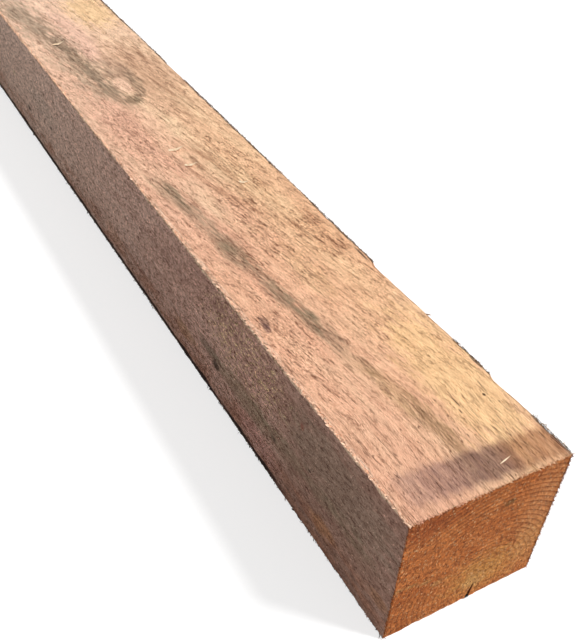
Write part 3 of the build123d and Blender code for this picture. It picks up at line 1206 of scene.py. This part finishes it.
# the standing splinters take the dark finish of the torn arris fibres, which is painted shade
blades("arris_splinters", (
    np.column_stack([behind(places), (half_width - 2.2 * MM) * each, (height - 0.6 * MM) * each]),
    np.column_stack([np.cos(turns), np.abs(np.sin(turns)), 0 * each]),
    np.tile(UP, (len(each), 1)), lengths * MM, widths * MM, 0.05 * each, 0.3 * each), torn_fibres_painted_shade)

# %% Lay the fringe round the butt end


def end_fringe(name, sides, count, seed, material):
    """Scatters short broken fibres along edges of the butt end, pointing out of it. The sides are
    1 at the right, 2 at the top and 3 at the left."""
    pick = np.random.default_rng(seed)
    side = pick.choice(sides, count)
    place = pick.uniform(-half_width + 0.8 * MM, half_width - 0.8 * MM, count)
    edge = half_width - pick.uniform(0.3, 0.9, count) * MM
    y = np.choose(side, [place, edge, place, -edge])
    z = half_width + np.choose(side, [-edge, place, edge, place])
    outs = np.array([face["out"] for face in FACES.values()])[side]
    x = butt_x + butt_offset(y, z) - pick.uniform(0.3, 1.2, count) * MM
    end_out = np.array([1.0, 0, 0])
    ways = end_out + np.cross(outs, end_out) * pick.normal(0, 0.5, count)[:, None]
    ways /= np.linalg.norm(ways, axis=1)[:, None]
    lengths = (0.7 + 1.5 * pick.random(count) ** 2) * MM
    widths = pick.uniform(0.2, 0.6, count) * MM
    lifts, rolls = pick.uniform(-0.1, 0.3, count), pick.uniform(-0.6, 0.6, count)
    blades(name, (np.column_stack([x, y, z]), ways, outs, lengths, widths, lifts, rolls), material)


end_fringe("butt_fringe_top", [2], 600, 311, top_fibres)
end_fringe("butt_fringe_sides", [1, 3], 1200, 312, end_fibres)

# %% [markdown]
# ## Loose splinters
# A few larger splinters lie on the post or stand off it. Each is one curled sliver of pale wood,
# which hasn't taken up much of the preservative because it was torn out of the inside.

# %% Finish the loose splinters
straw = bpy.data.materials.new("splinter_straw")
where = node("TexCoord", tree=empty_tree(straw))
lines = flecks((where, "Object"), 6, 0.5, 3, 0.4, 0.65)
pale_wood = {"Factor": lines, "A": linear("#FFEBCC"), "B": linear("#ECC49A")}
dull_wood(node("Mix", pale_wood, data_type="RGBA"), 0.8)

# %% Lay the loose splinters
# the face, mm behind the butt end and from the left or bottom edge, length, width, turn in degrees, lift
SPLINTERS = [
    ("top", 12.5, 62, 7.5, 0.7, 100, 0.10), ("top", 360, 39, 12.0, 2.8, 62, 0.40),
    ("top", 336, 41, 10.0, 2.6, 48, 0.40), ("top", 300, 66, 9.0, 2.4, 30, 0.36),
    ("top", 575, 22, 11.0, 2.8, 60, 0.40), ("left", 649, 46, 11.0, 2.0, 60, 0.16),
    ("left", 310, 63, 6.0, 0.9, 40, 0.2), ("left", 182, 62, 4.0, 0.7, 70, 0.2),
    ("right", 420, 40, 9.0, 0.9, 20, 0.2), ("right", 1100, 66, 8.0, 0.8, -15, 0.2),
]
roots, ways, outs = [], [], []
for face, from_butt, up, length, width, turn, lift in SPLINTERS:
    out, sideways, turn = FACES[face]["out"], FACES[face]["across"], math.radians(turn)
    on_face = out * (half_width + 0.15 * MM) + sideways * (up * MM - half_width)
    roots.append(on_face + np.array([behind(from_butt), 0, half_width]))
    ways.append(np.array([math.cos(turn), 0, 0]) + sideways * math.sin(turn))
    outs.append(out)
lengths, widths, lifts = (np.array([splinter[k] for splinter in SPLINTERS]) for k in (3, 4, 6))
rolls = np.full(len(SPLINTERS), 0.2)
slivers = (*map(np.array, (roots, ways, outs)), lengths * MM, widths * MM, lifts, rolls)
blades("loose_splinters", slivers, straw)

# %% [markdown]
# ## The studio
# A pale floor, a soft key light from above on the right and a pale world. The floor shows white to
# the camera where it is lit and keeps the post's shadow, and it reflects about half of its light,
# like a grey card, so that the left face stays in shade. Under the post, and a little further at the
# check's mouth, the paper is painted dark as a shadow and doesn't glow, so the check stays dark inside.

# %% Floor
reach = 12.0
floor_mesh = bpy.data.meshes.new("studio_floor")
floor_corners = [(-reach, -reach, 0), (reach, -reach, 0), (reach, reach, 0), (-reach, reach, 0)]
floor_mesh.from_pydata(floor_corners, [], [(0, 1, 2, 3)])
floor = add_object("studio_floor", floor_mesh)
print("floor", 2 * reach, "m wide")

# %% Paper on the floor
PAPER_TONE = 0.45
paper = bpy.data.materials.new("studio_paper")
tree = empty_tree(paper)
ray = (node("LightPath", tree=tree), "Is Camera Ray")
split = node("SeparateXYZ", {"Vector": (node("TexCoord", tree=tree), "Object")})
along, across = (split, "X"), (split, "Y")
# the painted shadow ends just inside the post's own outline, and a little further in at the check's mouth
level = node("Math", {0: across, 1: -BUTT_SWING, 2: along}, operation="MULTIPLY_ADD")
mouth = within(across, 0.003, 0.0045, 0.0075, 0.009)
level = node("Math", {0: mouth, 1: -1.2 * MM, 2: level}, operation="MULTIPLY_ADD")
front = butt_x - BUTT_SWING * half_width
shadow_under_post = within(level, top_x + 4 * MM, top_x + 6 * MM, front - 1.8 * MM, front - 0.8 * MM)
shadow_under_post = both(shadow_under_post, within(across, -0.047, -0.046, 0.046, 0.047))
# painted shadow: the paper goes almost black there and stops glowing
tone = node("MapRange", {"Value": shadow_under_post, "To Min": PAPER_TONE, "To Max": 0.02})
open_floor = node("MapRange", {"Value": shadow_under_post, "To Min": 0.68, "To Max": 0.0})
seen = node("BsdfDiffuse", {"Color": tone})
glow = node("Emission", {"Color": (1.0, 1.0, 1.0, 1.0), "Strength": open_floor})
lit = node("AddShader", {0: seen, 1: glow})
dull_paper = node("BsdfDiffuse", {"Color": (PAPER_TONE, PAPER_TONE, PAPER_TONE, 1.0)}, tree)
node("OutputMaterial", {"Surface": node("MixShader", {0: ray, 1: dull_paper, 2: lit})})
floor_mesh.materials.append(paper)

# %% World and key light
world = bpy.data.worlds.new("studio_world")
bpy.context.scene.world = world
tree = empty_tree(world)
ray = (node("LightPath", tree=tree), "Is Camera Ray")
soft = node("Background", {"Color": (1.0, 1.0, 1.0, 1.0), "Strength": 0.45}, tree)
white = node("Background", {"Color": (1.0, 1.0, 1.0, 1.0), "Strength": 1.0}, tree)
node("OutputWorld", {"Surface": node("MixShader", {0: ray, 1: soft, 2: white})})

key_data = bpy.data.lights.new("key_light", "SUN")
key_data.energy = 3.0
key_data.angle = math.radians(9)
key = add_object("key_light", key_data)
from_light = Vector((-0.42, -0.45, -0.85))
key.rotation_euler = from_light.to_track_quat("-Z", "Y").to_euler()
print("key light", key_data.energy, "with a soft edge of", round(math.degrees(key_data.angle)), "degrees")

# %% [markdown]
# ## The camera
# Its lens, place and angles come from fitting a camera to the corners and edges of the post in the
# photograph. Its three directions are written as a matrix, which also holds its slight roll.

# %% Camera
PHOTO_HEIGHT = 640
FOCAL_PIXELS, SHIFT_PIXELS = 835.2, 30
AZIMUTH, ELEVATION, ROLL = (math.radians(a) for a in (147.55, -42.24, -4.04))
eye = Vector((behind(1.5) + 0.1590, -0.1739 - half_width, 0.4101))
level_run = math.cos(ELEVATION)
ahead = Vector((level_run * math.cos(AZIMUTH), level_run * math.sin(AZIMUTH), math.sin(ELEVATION)))
level = ahead.cross(Vector((0, 0, 1))).normalized()
down = ahead.cross(level)
rightwards = level * math.cos(ROLL) + down * math.sin(ROLL)
downwards = down * math.cos(ROLL) - level * math.sin(ROLL)
camera_data = bpy.data.cameras.new("camera")
camera_data.sensor_width = 36.0
camera_data.lens = FOCAL_PIXELS / PHOTO_HEIGHT * camera_data.sensor_width
camera_data.shift_y = SHIFT_PIXELS / PHOTO_HEIGHT
camera_data.clip_start = 0.01
camera = add_object("camera", camera_data)
turned = Matrix((rightwards, -downwards, -ahead)).transposed().to_4x4()
camera.matrix_world = Matrix.Translation(eye) @ turned
bpy.context.scene.camera = camera
bpy.context.scene.view_settings.view_transform = "Standard"
print("camera", round((eye - Vector((butt_x, 0, height))).length, 2), "m from the butt end's top edge")
